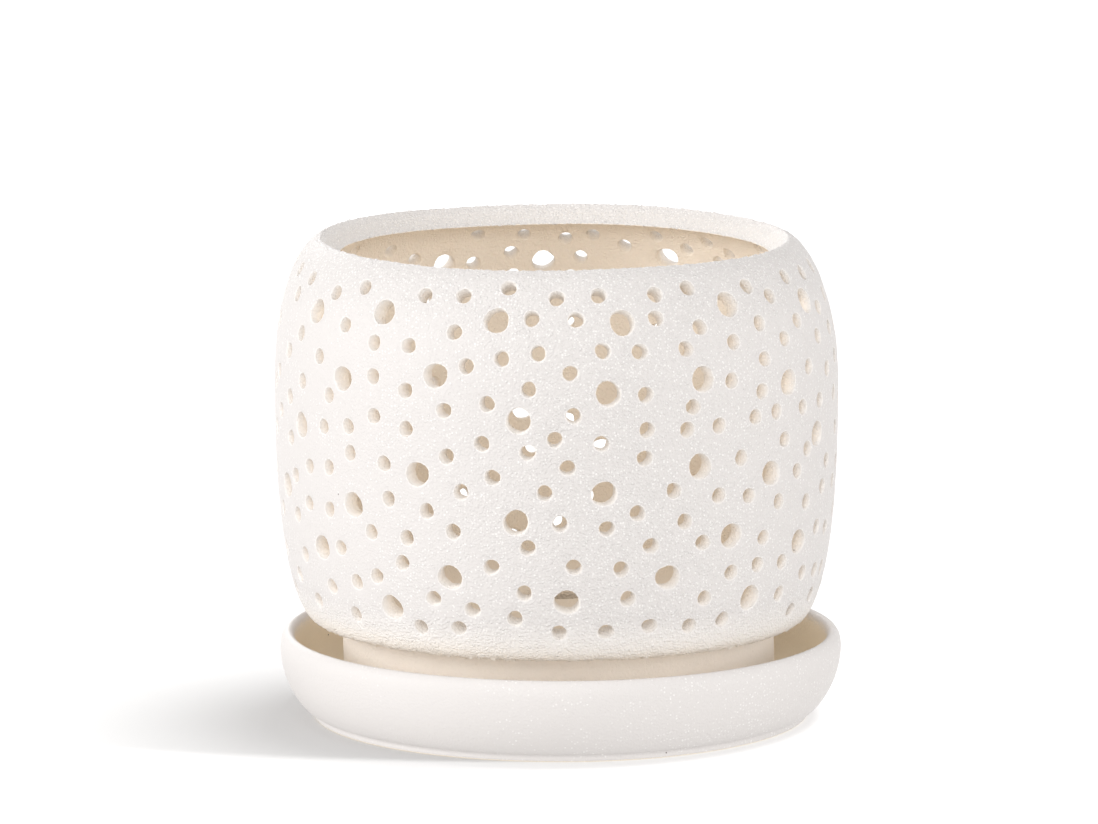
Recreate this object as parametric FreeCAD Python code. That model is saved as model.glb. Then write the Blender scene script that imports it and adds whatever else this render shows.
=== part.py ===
# A perforated orchid pot that stands in its own saucer, both of fired and glazed clay.
#
# The pot is a thrown barrel, pierced all over while the clay is leather hard. Each opening is
# pushed through square to the wall, in one of two sizes, at the places that a hand gives it.
# The wall turns in at the top and ends in a broad bevel. Below, the barrel overhangs an
# unglazed foot ring, and the floor has one drain hole in its middle.
# The saucer is a shallow dish with a rounded wall, a rim that falls inwards and a low foot.
#
# Lengths are in millimetres. Z is up through the middle of both pieces, the saucer stands on
# Z = 0 and the photographed side of the pot faces -Y.
import FreeCAD, Part

import math
import os

from FreeCAD import Vector

# The barrel's outer line: widest at the belly, drawn in to the lip and to the lower edge.
BELLY_RADIUS = 75.0
LIP_DRAW_IN = 12.9
LOWER_EDGE_DRAW_IN = 10.6
LIP_RISE = 38.3  # from the belly up to the crest of the lip
LOWER_FALL = 63.5  # from the belly down to the lower edge
WALL = 5.0
FLOOR = 6.0
FLOOR_CORNER = 6.0  # how far the floor's corner fills in from the wall
LIP_BEVEL_WIDTH = 4.7
LIP_BEVEL_DROP = 4.9

# How full the barrel's two curves are: the powers of a superellipse.
SHOULDER_POWER, SHOULDER_ROUND = 2.1, 0.6
LOWER_POWER, LOWER_ROUND = 2.5, 0.5

# The foot ring under the barrel, and the drain hole in the floor.
FOOT_DRAW_IN = 17.5  # from the belly's radius
FOOT_WALL = 6.5
FOOT_HEIGHT = 19.8
DRAIN_DIAMETER = 16.0

# The openings. A small and a large punch were used.
SMALL_OPENING = 3.8
LARGE_OPENING = 6.3
PUNCH_OVERRUN = 3.0

# The saucer, made as wide as the pot's belly.
SAUCER_HEIGHT = 22.8
SAUCER_WALL = 4.0
SAUCER_FLOOR = 4.3
SAUCER_FOOT_DRAW_IN = 8.8  # from the saucer's radius
SAUCER_FOOT_WALL = 7.0
SAUCER_FOOT_HEIGHT = 2.2
SAUCER_WALL_START = 1.6  # how far the wall starts outside the foot
SAUCER_WIDEST = 19.0  # height of the widest line
SAUCER_RIM_WIDTH = 2.1  # from the widest line in to the rim's inner edge
SAUCER_CORNER = 7.0  # radius of the hollow corner where the wall meets the floor
SAUCER_POWER, SAUCER_ROUND = 2.0, 0.8
SAUCER_CORNER_STEPS = 3
SEAT_CLEARANCE = 0.2

# Both pieces are laid out in flat panels round their middle, so that each opening has few faces.
PANELS = 40
SMALL_SIDES = 6
LARGE_SIDES = 8

# Heights of the panels' edges: shares of the way from the belly to the lower edge or to the crest,
# and for the saucer from its widest line down to its underside.
LOWER_RING_SHARES = (1.0, 0.92, 0.72, 0.35)
UPPER_RING_SHARES = (0.15, 0.56, 0.84, 1.0)
SAUCER_RING_SHARES = (1.0, 0.86, 0.6, 0.3, 0.0)

# The openings' places, chosen by hand from the photograph's ruled picture: degrees round from
# the front, and hundredth shares of the way up the wall's curve from the lower edge to the crest.
SMALL_OPENING_SHARES = (
    (-78.0, 91.1), (-67.5, 90.4), (-54.6, 88.7), (-45.7, 91.4), (-29.0, 91.2), (-19.9, 91.7),
    (-10.0, 94.2), (0.5, 91.5), (9.6, 92.0), (22.2, 91.6), (30.4, 92.7), (46.7, 91.5),
    (53.0, 88.2), (62.0, 91.9), (71.8, 91.4),
    (-72.5, 85.5), (-48.9, 81.5), (-21.1, 82.7), (-4.8, 86.5), (4.4, 86.2), (21.4, 85.8),
    (31.2, 82.9), (47.2, 82.2), (60.5, 80.9), (73.4, 82.1),
    (-65.5, 76.9), (-39.9, 78.4), (-31.2, 78.6), (-18.2, 74.7), (-10.9, 76.8), (-3.5, 78.2),
    (9.5, 78.6), (17.1, 78.1), (27.2, 78.1), (39.0, 78.6), (54.3, 77.4), (68.9, 75.7),
    (78.5, 76.2),
    (-71.3, 71.7), (-56.6, 72.7), (-39.6, 70.3), (-31.5, 67.8), (-5.5, 69.6), (2.8, 73.5),
    (17.8, 67.9), (37.4, 69.5), (47.0, 73.5), (62.3, 69.3), (72.3, 67.1),
    (-78.2, 65.5), (-63.1, 65.6), (-52.5, 63.9), (-22.8, 63.8), (-13.8, 65.9), (3.3, 63.4),
    (28.0, 64.2), (45.5, 65.9),
    (-69.6, 60.7), (-39.2, 60.8), (-31.3, 58.6), (18.0, 59.5), (26.6, 58.9), (34.0, 59.1),
    (43.5, 60.0), (49.8, 60.4), (59.2, 60.0), (67.2, 60.3),
    (-76.0, 56.2), (-54.4, 56.0), (-46.4, 57.3), (-22.3, 52.8), (-14.9, 56.3), (-5.7, 54.5),
    (-0.4, 57.7), (8.8, 56.6), (17.5, 52.7), (52.5, 53.2),
    (-69.2, 50.7), (-46.0, 50.9), (-36.8, 49.6), (-12.8, 48.3), (2.1, 50.9), (39.6, 50.6),
    (61.3, 49.4),
    (-60.3, 45.3), (-52.9, 46.3), (-19.3, 44.4), (-2.4, 44.8), (23.7, 44.4), (57.3, 44.7),
    (72.0, 44.6),
    (-67.2, 41.8), (-35.9, 41.1), (-26.9, 39.1), (16.1, 39.5), (34.0, 42.2), (41.8, 41.1),
    (50.9, 38.3), (69.9, 38.6), (78.5, 38.2),
    (-61.2, 36.0), (-53.3, 35.9), (-21.2, 34.6), (0.6, 37.3), (9.9, 36.0), (26.2, 36.7),
    (61.5, 36.4),
    (-67.4, 32.1), (-40.8, 32.3), (-31.8, 32.0), (-5.9, 31.4), (19.0, 31.3), (30.5, 31.1),
    (46.5, 30.1),
    (-50.4, 26.9), (-33.3, 25.7), (-13.4, 26.4), (3.3, 26.7), (12.9, 25.9), (68.0, 28.9),
    (74.5, 27.5),
    (-65.6, 22.4), (-40.3, 21.4), (-6.8, 20.1), (38.0, 22.7), (45.3, 23.6), (53.4, 22.9),
    (-71.5, 16.1), (-55.3, 16.3), (-46.4, 19.0), (-26.5, 17.5), (14.5, 18.4), (31.8, 17.0),
    (63.0, 18.4), (70.4, 17.6), (76.3, 17.0),
    (-17.9, 15.4), (-8.9, 13.5), (54.0, 14.7), (-63.0, 11.3), (71.5, 11.0),
    (-48.6, 10.3), (-30.5, 9.5), (-21.4, 10.2), (0.3, 9.9), (10.2, 10.0), (19.6, 11.0),
    (28.9, 10.1), (37.2, 10.7), (61.0, 9.0),
)
LARGE_OPENING_SHARES = (
    (-60.0, 83.2), (-38.4, 86.0), (-12.2, 85.9), (14.0, 85.1), (39.5, 87.7), (66.6, 85.0),
    (-48.2, 68.6), (-24.8, 72.0), (-7.5, 62.1), (10.2, 68.5), (30.5, 70.6), (54.0, 66.8),
    (-63.5, 54.8), (-28.8, 47.9), (9.3, 44.5), (29.5, 49.7), (48.2, 45.6), (65.8, 52.3),
    (-72.7, 38.3), (-45.6, 38.3), (-8.2, 37.5), (37.4, 31.9), (-57.2, 25.8), (-22.4, 23.2),
    (22.9, 23.2), (59.3, 26.9), (1.9, 17.9), (-37.2, 13.9), (44.1, 15.4),
)
# The strip round each side that the photograph sees edge on: small and large openings.
SIDE_SMALL_SHARES = (
    (81.7, 91.5), (91.8, 92.0), (82.3, 83.9), (86.6, 75.8), (95.8, 77.2), (80.5, 68.9),
    (77.6, 60.2), (84.3, 57.4), (93.5, 58.3), (98.4, 62.5), (79.8, 51.4), (98.9, 51.4),
    (82.3, 42.6), (95.3, 40.2), (87.4, 36.3), (82.0, 30.6), (101.6, 31.5), (85.4, 20.7),
    (99.3, 21.0), (82.6, 11.4), (91.8, 13.0), (101.0, 11.0),
)
SIDE_LARGE_SHARES = ((91.0, 83.4), (90.2, 66.8), (89.6, 48.2), (93.2, 29.6))
# The far side where the mouth and the openings of the front show it: degrees round from the back,
# and hundredth shares as above.
FAR_SMALL_SHARES = (
    (-60.3, 92.4), (-46.2, 87.9), (-41.9, 84.8), (-40.2, 91.2), (-33.2, 87.9), (-25.7, 91.9),
    (-16.9, 87.8), (-9.5, 91.5), (-6.0, 83.9), (-2.7, 90.1), (7.4, 91.7), (10.3, 85.6),
    (19.0, 92.3), (19.2, 82.6), (34.6, 84.9), (42.6, 88.7), (56.7, 90.6),
    (-2.5, 65.5), (-9.2, 41.4), (-2.5, 40.0), (5.5, 33.0), (21.5, 21.0), (0.4, 14.0),
)
FAR_LARGE_SHARES = ((-27.3, 84.5), (2.7, 82.6), (26.5, 82.6), (7.5, 43.0), (-10.0, 32.0))
# The rest of the far side repeats the front, half a turn on. A repeated opening is left out where the
# mouth shows the wall: within this many degrees of the back, and above this hundredth share.
# It is left out too where it leaves less clay than the gap beside one of those above, or where
# it stands behind an opening of the front for an eye at this distance and height. It stands behind
# one if their middles look closer than this share of both radii.
MOUTH_SHOWS_DEGREES = 64.0
MOUTH_SHOWS_FROM = 80.0
FAR_GAP = 2.2
EYE_DISTANCE = 2100.0
EYE_HEIGHT = 430.0
IN_LINE_SHARE = 0.7

# Radii and heights that follow from the sizes above.
LIP_RADIUS = BELLY_RADIUS - LIP_DRAW_IN
LOWER_EDGE_RADIUS = BELLY_RADIUS - LOWER_EDGE_DRAW_IN
FOOT_RADIUS = BELLY_RADIUS - FOOT_DRAW_IN
SAUCER_RADIUS = BELLY_RADIUS
SAUCER_FOOT_RADIUS = SAUCER_RADIUS - SAUCER_FOOT_DRAW_IN
SEAT_HEIGHT = SAUCER_FOOT_HEIGHT + SAUCER_FLOOR + SEAT_CLEARANCE
LOWER_EDGE_HEIGHT = SEAT_HEIGHT + FOOT_HEIGHT
BELLY_HEIGHT = LOWER_EDGE_HEIGHT + LOWER_FALL
CREST_HEIGHT = BELLY_HEIGHT + LIP_RISE
FLOOR_HEIGHT = LOWER_EDGE_HEIGHT + FLOOR

ORIGIN = Vector(0, 0, 0)
UP = Vector(0, 0, 1)


def drawn_in(radius, depth, share, power, roundness):
    """Radius of a curve that leaves the belly upright and is drawn in by depth at share 1."""
    return radius - depth * (1 - (1 - share**power) ** roundness)


def barrel_points(lower_shares, upper_shares):
    """Points (radius, height) of the barrel's outer line, from its lower edge to the crest."""
    lower = [
        (
            drawn_in(BELLY_RADIUS, BELLY_RADIUS - LOWER_EDGE_RADIUS, s, LOWER_POWER, LOWER_ROUND),
            BELLY_HEIGHT - LOWER_FALL * s,
        )
        for s in lower_shares
    ]
    upper = [
        (
            drawn_in(BELLY_RADIUS, BELLY_RADIUS - LIP_RADIUS, s, SHOULDER_POWER, SHOULDER_ROUND),
            BELLY_HEIGHT + LIP_RISE * s,
        )
        for s in upper_shares
    ]
    return lower + upper


def curve_through(points):
    """A smooth edge through points (radius, height), drawn in the plane that faces the front."""
    curve = Part.BSplineCurve()
    curve.interpolate([Vector(0, -radius, height) for radius, height in points])
    return curve.toShape()


def wall_normal(edge, parameter):
    """The direction straight out of the wall at a parameter of its outer line."""
    along = edge.tangentAt(parameter)
    return Vector(0, -along.z, along.y)


def inner_points(edge, outer):
    """The wall's inner line: each outer point moved in by the wall's thickness."""
    points = []
    for radius, height in outer:
        inward = wall_normal(edge, edge.Curve.parameter(Vector(0, -radius, height))) * -WALL
        points.append((radius - inward.y, height + inward.z))
    return points


def ring(radius, height):
    """Corners of one level ring of panels, with a flat panel square to the front."""
    turn = 2 * math.pi / PANELS
    return [
        Vector(radius * math.sin(turn * (k + 0.5)), -radius * math.cos(turn * (k + 0.5)), height)
        for k in range(PANELS)
    ]


def panelled_solid(rings):
    """A closed solid of flat panels between each ring and the next, with level ends."""
    levels = [ring(radius, height) for radius, height in rings]
    faces = [Part.Face(Part.makePolygon(level + level[:1])) for level in (levels[0], levels[-1])]
    for below, above in zip(levels, levels[1:]):
        for k in range(PANELS):
            n = (k + 1) % PANELS
            faces.append(Part.Face(Part.makePolygon([below[k], below[n], above[n], above[k], below[k]])))
    solid = Part.Solid(Part.Shell(faces))
    if solid.Volume < 0:
        solid.reverse()
    return solid


def punch(edge, share, diameter, sides):
    """A many-sided punch of the area of a round one, square to the wall at a share of its curve."""
    parameter = edge.getParameterByLength(edge.Length * share)
    out = wall_normal(edge, parameter)
    start = edge.valueAt(parameter) + out * PUNCH_OVERRUN
    reach = diameter / 2 * math.sqrt(2 * math.pi / (sides * math.sin(2 * math.pi / sides)))
    across, upward = Vector(1, 0, 0), out.cross(Vector(1, 0, 0))
    corners = []
    for k in range(sides):
        angle = 2 * math.pi * (k + 0.5) / sides
        corners.append(start + across * (reach * math.cos(angle)) + upward * (reach * math.sin(angle)))
    outline = Part.Face(Part.makePolygon(corners + corners[:1]))
    return outline.extrude(out * -(WALL + 2 * PUNCH_OVERRUN))


def seen_from_eye(edge, place, turn):
    """Where an opening's middle looks to stand, in the upright plane through the pot's middle."""
    azimuth, hundredths = place
    point = edge.valueAt(edge.getParameterByLength(edge.Length * hundredths / 100))
    around = math.radians(azimuth + turn)
    nearer = EYE_DISTANCE / (EYE_DISTANCE + point.y * math.cos(around))
    return -point.y * math.sin(around) * nearer, (point.z - EYE_HEIGHT) * nearer


def repeats_behind(edge, place, diameter):
    """True if a front opening may be repeated on the far side, half a turn on."""
    azimuth, hundredths = place
    if abs(azimuth) < MOUTH_SHOWS_DEGREES and hundredths > MOUTH_SHOWS_FROM:
        return False
    across, upward = seen_from_eye(edge, place, 180)
    for others, size in ((FAR_SMALL_SHARES, SMALL_OPENING), (FAR_LARGE_SHARES, LARGE_OPENING)):
        apart = (diameter + size) / 2 + FAR_GAP
        for far_azimuth, far_hundredths in others:
            around = math.radians(azimuth - far_azimuth) * BELLY_RADIUS
            if math.hypot(around, (hundredths - far_hundredths) / 100 * edge.Length) < apart:
                return False
    for others, size in ((SMALL_OPENING_SHARES, SMALL_OPENING), (LARGE_OPENING_SHARES, LARGE_OPENING)):
        apart = (diameter + size) / 2 * IN_LINE_SHARE
        for other in others:
            other_across, other_upward = seen_from_eye(edge, other, 0)
            if math.hypot(across - other_across, upward - other_upward) < apart:
                return False
    return True


def punches(edge):
    """All the punches, turned to their places round the wall."""
    tools = []

    def place(shares, diameter, sides, turn):
        for azimuth, hundredths in shares:
            tool = punch(edge, hundredths / 100, diameter, sides)
            tool.rotate(ORIGIN, UP, azimuth + turn)
            tools.append(tool)

    small_behind = [p for p in SMALL_OPENING_SHARES if repeats_behind(edge, p, SMALL_OPENING)]
    large_behind = [p for p in LARGE_OPENING_SHARES if repeats_behind(edge, p, LARGE_OPENING)]
    place(SMALL_OPENING_SHARES, SMALL_OPENING, SMALL_SIDES, 0)
    place(LARGE_OPENING_SHARES, LARGE_OPENING, LARGE_SIDES, 0)
    place(FAR_SMALL_SHARES, SMALL_OPENING, SMALL_SIDES, 180)
    place(FAR_LARGE_SHARES, LARGE_OPENING, LARGE_SIDES, 180)
    place(small_behind, SMALL_OPENING, SMALL_SIDES, 180)
    place(large_behind, LARGE_OPENING, LARGE_SIDES, 180)
    for half_turn in (0, 180):
        place(SIDE_SMALL_SHARES, SMALL_OPENING, SMALL_SIDES, half_turn)
        place(SIDE_LARGE_SHARES, LARGE_OPENING, LARGE_SIDES, half_turn)
    return tools


def make_pot():
    """The barrel with its bevelled lip, floor, foot ring, drain hole and openings."""
    outer = barrel_points(LOWER_RING_SHARES, UPPER_RING_SHARES)
    edge = curve_through(outer)
    lip = (LIP_RADIUS - LIP_BEVEL_WIDTH, CREST_HEIGHT - LIP_BEVEL_DROP)
    inner = [p for p in inner_points(edge, outer) if p[1] > FLOOR_HEIGHT + FLOOR_CORNER / 2]
    inner = [p for p in inner if p[0] > lip[0] + WALL / 2]
    corner = (inner[0][0] - FLOOR_CORNER, FLOOR_HEIGHT)
    pot = panelled_solid(outer + [lip] + inner[::-1] + [corner])

    foot = Part.makeCylinder(FOOT_RADIUS, FOOT_HEIGHT, Vector(0, 0, SEAT_HEIGHT))
    foot = foot.cut(Part.makeCylinder(FOOT_RADIUS - FOOT_WALL, FOOT_HEIGHT, Vector(0, 0, SEAT_HEIGHT)))
    drain = Part.makeCylinder(DRAIN_DIAMETER / 2, FLOOR, Vector(0, 0, LOWER_EDGE_HEIGHT))
    return pot.cut(punches(edge)).fuse(foot).cut(drain)


def make_saucer():
    """The dish, from its underside round the foot, the wall and the rim to the floor inside."""
    underside = SAUCER_FOOT_HEIGHT
    floor = underside + SAUCER_FLOOR
    foot_inside = SAUCER_FOOT_RADIUS - SAUCER_FOOT_WALL
    start = SAUCER_FOOT_RADIUS + SAUCER_WALL_START
    rim = SAUCER_RADIUS - SAUCER_RIM_WIDTH
    corner = rim - SAUCER_WALL / 2 - SAUCER_CORNER

    foot = [(foot_inside, underside), (foot_inside, 0), (SAUCER_FOOT_RADIUS, 0), (SAUCER_FOOT_RADIUS, underside)]
    wall = [
        (
            drawn_in(SAUCER_RADIUS, SAUCER_RADIUS - start, s, SAUCER_POWER, SAUCER_ROUND),
            SAUCER_WIDEST - (SAUCER_WIDEST - underside) * s,
        )
        for s in SAUCER_RING_SHARES
    ]
    quarter = [math.pi / 2 * k / SAUCER_CORNER_STEPS for k in range(SAUCER_CORNER_STEPS + 1)]
    hollow = [
        (corner + SAUCER_CORNER * math.cos(a), floor + SAUCER_CORNER * (1 - math.sin(a))) for a in quarter
    ]
    return panelled_solid(foot + wall + [(rim, SAUCER_HEIGHT)] + hollow).removeSplitter()


def save(name, shape):
    """One solid to its own file."""
    solid = shape.Solids[0]
    print(name, len(shape.Solids), solid.isValid(), round(solid.Volume / 1000, 1), "cm3")
    solid.exportStep(os.path.join("parts", name + ".step"))


os.makedirs("parts", exist_ok=True)
save("pot", make_pot())
save("saucer", make_saucer())
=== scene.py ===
import math

import bpy
import numpy as np
from mathutils.geometry import delaunay_2d_cdt
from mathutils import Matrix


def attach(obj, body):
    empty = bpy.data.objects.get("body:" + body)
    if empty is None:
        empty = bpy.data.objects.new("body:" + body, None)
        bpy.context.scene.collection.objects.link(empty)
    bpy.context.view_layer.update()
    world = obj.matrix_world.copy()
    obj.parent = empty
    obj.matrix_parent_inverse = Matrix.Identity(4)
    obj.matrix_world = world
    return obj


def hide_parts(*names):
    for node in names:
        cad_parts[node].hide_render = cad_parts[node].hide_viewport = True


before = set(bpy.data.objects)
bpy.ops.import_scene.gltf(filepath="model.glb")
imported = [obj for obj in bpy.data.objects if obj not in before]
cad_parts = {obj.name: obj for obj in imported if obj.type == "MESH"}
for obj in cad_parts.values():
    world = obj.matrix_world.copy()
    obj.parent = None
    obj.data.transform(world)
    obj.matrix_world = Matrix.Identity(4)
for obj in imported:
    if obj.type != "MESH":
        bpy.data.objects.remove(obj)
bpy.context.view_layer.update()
scene = bpy.context.scene
scene.view_settings.view_transform = "Standard"


# The camera: a long lens a little above the rim, looking slightly down at the pot's front.
# Its place and length are those that put the rims where the photograph has them.
PICTURE_WIDTH = 1098
LENS_IN_PIXELS = 8000
camera = bpy.data.objects.new("camera", bpy.data.cameras.new("camera"))
camera.data.sensor_width = 36
camera.data.lens = camera.data.sensor_width * LENS_IN_PIXELS / PICTURE_WIDTH
camera.location = (-0.00192, -2.098, 0.4305)
camera.rotation_euler = (math.radians(90 - 9.455), 0, 0)
scene.collection.objects.link(camera)
scene.camera = camera


# The floor: one white sheet, which the camera sees brighter than the clay does.
# It keeps the soft shadow that falls to the left of the saucer.
FLOOR_HALF = 6.0


def wired(tree, kind, inputs=None, **settings):
    """A new node with its settings, whose input sockets are linked or given values by name or number."""
    made = tree.nodes.new(kind)
    for name, value in settings.items():
        setattr(made, name, value)
    for name, value in (inputs or {}).items():
        if isinstance(value, bpy.types.NodeSocket):
            tree.links.new(value, made.inputs[name])
        else:
            made.inputs[name].default_value = value
    return made


def new_material(name):
    """An empty node material and its tree."""
    material = bpy.data.materials.new(name)
    material.use_nodes = True
    material.node_tree.nodes.clear()
    return material, material.node_tree


def seen_directly(tree):
    """1 for rays of the camera and for those that reach it off gloss or through glass."""
    rays = wired(tree, "ShaderNodeLightPath")
    camera_ray, glossy_ray = rays.outputs["Is Camera Ray"], rays.outputs["Is Glossy Ray"]
    gloss = wired(tree, "ShaderNodeMath", {0: camera_ray, 1: glossy_ray}, operation="MAXIMUM")
    through = {0: gloss.outputs[0], 1: rays.outputs["Is Transmission Ray"]}
    return wired(tree, "ShaderNodeMath", through, operation="MAXIMUM").outputs[0]


def new_piece(name, points, faces, material):
    """A mesh object at the origin, smooth where its faces meet gently."""
    mesh = bpy.data.meshes.new(name)
    mesh.from_pydata(points.tolist(), [], faces)
    mesh.materials.append(material)
    mesh.shade_smooth()
    mesh.set_sharp_from_angle(angle=math.radians(42))
    piece = bpy.data.objects.new(name, mesh)
    scene.collection.objects.link(piece)
    return piece


floor_paint, tree = new_material("white_floor")
white = wired(tree, "ShaderNodeBsdfDiffuse", {"Color": (0.76, 0.76, 0.76, 1)})
pale = wired(tree, "ShaderNodeEmission", {"Color": (1, 1, 1, 1), "Strength": 0.1})
seen = wired(tree, "ShaderNodeAddShader", {0: white.outputs[0], 1: pale.outputs[0]})
felt = wired(tree, "ShaderNodeEmission", {"Color": (1.0, 0.985, 0.97, 1), "Strength": 0.80})
either = wired(tree, "ShaderNodeMixShader", {
    0: seen_directly(tree), 1: felt.outputs[0], 2: seen.outputs[0]})
wired(tree, "ShaderNodeOutputMaterial", {"Surface": either.outputs[0]})
corners = FLOOR_HALF * np.array([(-1, -1, 0), (1, -1, 0), (1, 1, 0), (-1, 1, 0)])
floor = new_piece("floor", corners, [(0, 1, 2, 3)], floor_paint)


# The light: a pale room and five broad lamps that only the clay receives, brightest from the left.
# Two suns that only the floor receives lay the shadow to the left, short, as the photograph has it.
ROOM_LIGHT = 0.68
LIT_HEIGHT = 0.07
world = bpy.data.worlds.new("studio")
world.use_nodes = True
tree = world.node_tree
tree.nodes.clear()
room = wired(tree, "ShaderNodeBackground", {"Color": (1.0, 0.99, 0.98, 1), "Strength": ROOM_LIGHT})
wall = wired(tree, "ShaderNodeBackground", {"Color": (1, 1, 1, 1), "Strength": 1.0})
either = wired(tree, "ShaderNodeMixShader", {
    0: seen_directly(tree), 1: room.outputs[0], 2: wall.outputs[0]})
wired(tree, "ShaderNodeOutputWorld", {"Surface": either.outputs[0]})
scene.world = world


def lamp(kind, name, azimuth, height, distance, size, power):
    """A round sheet or a sun that faces the pot, from degrees round from the front and degrees up."""
    made = bpy.data.objects.new(name, bpy.data.lights.new(name, kind))
    made.data.energy = power
    if kind == "AREA":
        made.data.shape = "DISK"
        made.data.size = size
    else:
        made.data.angle = math.radians(size)
    around, up = math.radians(azimuth), math.radians(height)
    level, rise = distance * math.cos(up), distance * math.sin(up)
    made.location = (level * math.sin(around), -level * math.cos(around), LIT_HEIGHT + rise)
    made.rotation_euler = (math.pi / 2 - up, 0, around)
    scene.collection.objects.link(made)
    return made


def lights_only(made, group):
    """The lamp's light falls on the group's objects alone."""
    made.light_linking.receiver_collection = group


clay_group, floor_group = bpy.data.collections.new("clay"), bpy.data.collections.new("ground")
floor_group.objects.link(floor)
lights_only(lamp("AREA", "left_lamp", -75, 20, 2.2, 1.2, 21), clay_group)
lights_only(lamp("AREA", "front_lamp", -5, 6, 2.4, 0.6, 9.5), clay_group)
lights_only(lamp("AREA", "upper_lamp", -5, 28, 2.4, 0.8, 8.2), clay_group)
lights_only(lamp("AREA", "right_lamp", 75, 14, 2.1, 1.2, 10.5), clay_group)
lights_only(lamp("AREA", "back_lamp", -165, 25, 2.2, 1.2, 12.5), clay_group)
lights_only(lamp("SUN", "high_sun", 117, 71, 3, 34, 2.1), floor_group)
lights_only(lamp("SUN", "low_sun", 78, 10, 3, 8, 6.3), floor_group)


# The barrel: a thrown wall of stoneware, pierced with two round punches while it was leather hard,
# cut to a broad bevel at the mouth, dipped in white glaze outside and left as bare tan clay inside.
TURN = 2 * math.pi
BELLY_RADIUS, BELLY_HEIGHT = 0.075, 0.090
CREST_RADIUS, CREST_HEIGHT = 0.0621, 0.1283
LOWER_EDGE_RADIUS, LOWER_EDGE_HEIGHT = 0.0644, 0.0265
WALL = 0.005
LIP_RADIUS, LIP_HEIGHT = 0.0574, 0.1234
INNER_FLOOR_RADIUS, INNER_FLOOR_HEIGHT = 0.058, 0.0325
DRAIN_RADIUS = 0.008
SMALL_HOLE_RADIUS, LARGE_HOLE_RADIUS = 0.0019, 0.00315
HOLE_SIDES = 16
ROUND_EDGE_COLUMNS = 600

# Places of the holes, read from the photograph: degrees round from the front, and
# hundredth shares of the way up the wall's line from the lower edge to the crest.
SMALL_HOLE_SHARES = (
    (-78.0, 91.1), (-67.5, 90.4), (-54.6, 88.7), (-45.7, 91.4), (-29.0, 91.2), (-19.9, 91.7),
    (-10.0, 94.2), (0.5, 91.5), (9.6, 92.0), (22.2, 91.6), (30.4, 92.7), (46.7, 91.5),
    (53.0, 88.2), (62.0, 91.9), (71.8, 91.4),
    (-72.5, 85.5), (-48.9, 81.5), (-21.1, 82.7), (-4.8, 86.5), (4.4, 86.2), (21.4, 85.8),
    (31.2, 82.9), (47.2, 82.2), (60.5, 80.9), (73.4, 82.1),
    (-65.5, 76.9), (-39.9, 78.4), (-31.2, 78.6), (-18.2, 74.7), (-10.9, 76.8), (-3.5, 78.2),
    (9.5, 78.6), (17.1, 78.1), (27.2, 78.1), (39.0, 78.6), (54.3, 77.4), (68.9, 75.7),
    (78.5, 76.2),
    (-71.3, 71.7), (-56.6, 72.7), (-39.6, 70.3), (-31.5, 67.8), (-5.5, 69.6), (2.8, 73.5),
    (17.8, 67.9), (37.4, 69.5), (47.0, 73.5), (62.3, 69.3), (72.3, 67.1),
    (-78.2, 65.5), (-63.1, 65.6), (-52.5, 63.9), (-22.8, 63.8), (-13.8, 65.9), (3.3, 63.4),
    (28.0, 64.2), (45.5, 65.9),
    (-69.6, 60.7), (-39.2, 60.8), (-31.3, 58.6), (18.0, 59.5), (26.6, 58.9), (34.0, 59.1),
    (43.5, 60.0), (49.8, 60.4), (59.2, 60.0), (67.2, 60.3),
    (-76.0, 56.2), (-54.4, 56.0), (-46.4, 57.3), (-22.3, 52.8), (-14.9, 56.3), (-5.7, 54.5),
    (-0.4, 57.7), (8.8, 56.6), (17.5, 52.7), (52.5, 53.2),
    (-69.2, 50.7), (-46.0, 50.9), (-36.8, 49.6), (-12.8, 48.3), (2.1, 50.9), (39.6, 50.6),
    (61.3, 49.4),
    (-60.3, 45.3), (-52.9, 46.3), (-19.3, 44.4), (-2.4, 44.8), (23.7, 44.4), (57.3, 44.7),
    (72.0, 44.6),
    (-67.2, 41.8), (-35.9, 41.1), (-26.9, 39.1), (16.1, 39.5), (34.0, 42.2), (41.8, 41.1),
    (50.9, 38.3), (69.9, 38.6), (78.5, 38.2),
    (-61.2, 36.0), (-53.3, 35.9), (-21.2, 34.6), (0.6, 37.3), (9.9, 36.0), (26.2, 36.7),
    (61.5, 36.4),
    (-67.4, 32.1), (-40.8, 32.3), (-31.8, 32.0), (-5.9, 31.4), (19.0, 31.3), (30.5, 31.1),
    (46.5, 30.1),
    (-50.4, 26.9), (-33.3, 25.7), (-13.4, 26.4), (3.3, 26.7), (12.9, 25.9), (68.0, 28.9),
    (74.5, 27.5),
    (-65.6, 22.4), (-40.3, 21.4), (-6.8, 20.1), (38.0, 22.7), (45.3, 23.6), (53.4, 22.9),
    (-71.5, 16.1), (-55.3, 16.3), (-46.4, 19.0), (-26.5, 17.5), (14.5, 18.4), (31.8, 17.0),
    (63.0, 18.4), (70.4, 17.6), (76.3, 17.0),
    (-17.9, 15.4), (-8.9, 13.5), (54.0, 14.7), (-63.0, 11.3), (71.5, 11.0),
    (-48.6, 10.3), (-30.5, 9.5), (-21.4, 10.2), (0.3, 9.9), (10.2, 10.0), (19.6, 11.0),
    (28.9, 10.1), (37.2, 10.7), (61.0, 9.0),
)
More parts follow.
